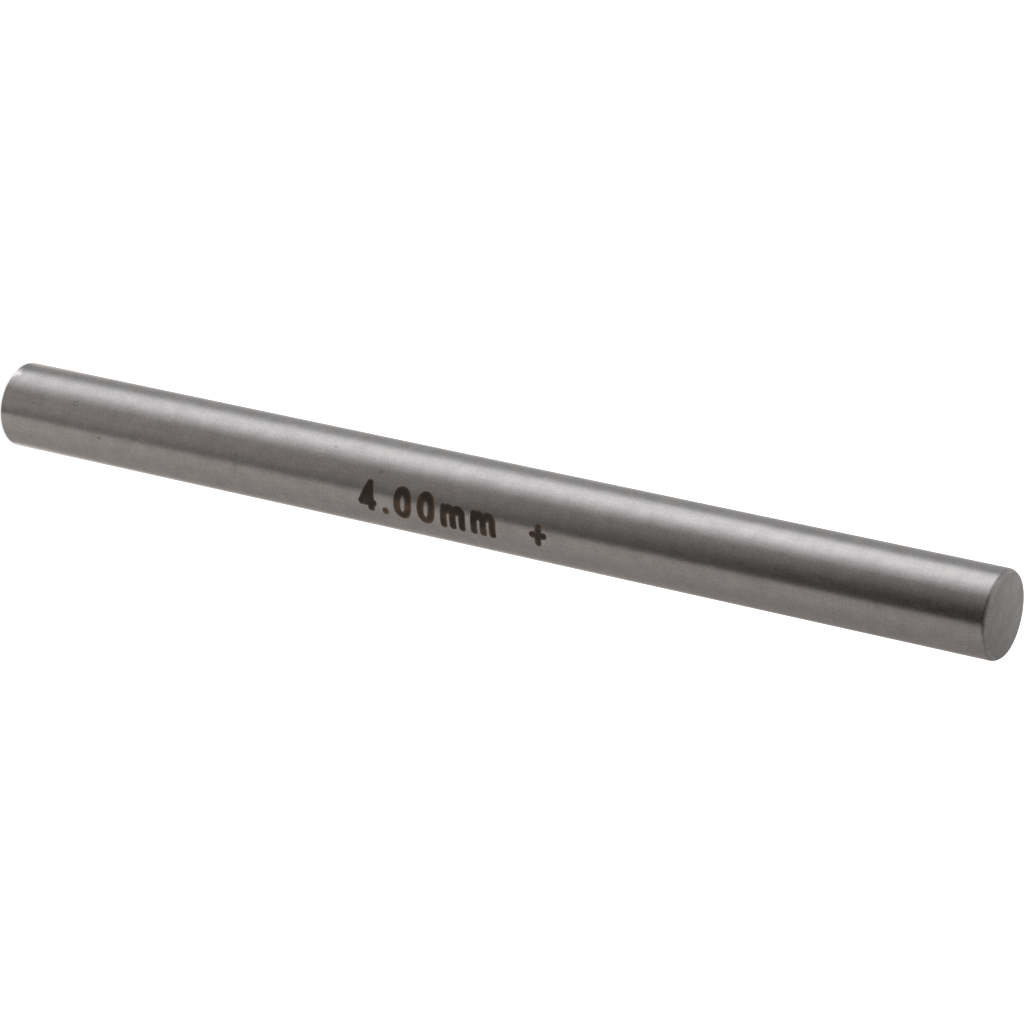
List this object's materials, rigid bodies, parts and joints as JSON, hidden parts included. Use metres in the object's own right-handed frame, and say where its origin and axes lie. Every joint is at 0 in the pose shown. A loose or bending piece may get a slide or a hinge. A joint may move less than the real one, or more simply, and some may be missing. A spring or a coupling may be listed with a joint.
{
  "type": "pin gauge",
  "caption": "Plain cylindrical pin gauge: a straight ground steel pin with a small chamfer at each end, for checking the size of holes and slots.",
  "frame": {"origin": "the centre of the end face that the pin stands on, the end that the picture shows as the far one", "axes": "+Z runs along the pin's axis from that face to the other, the marked size reads along +Z, and -Y is the side that carries the marking"},
  "size_m": [0.004, 0.004, 0.0508],
  "materials": {
    "ground_steel": "hardened steel, centreless ground and lapped to a fine satin along the whole pin, with faint round-the-pin grinding lines and flat ground end faces"
  },
  "bodies": {
    "root": {"gauge_pin": "ground_steel"}
  },
  "joints": []
}
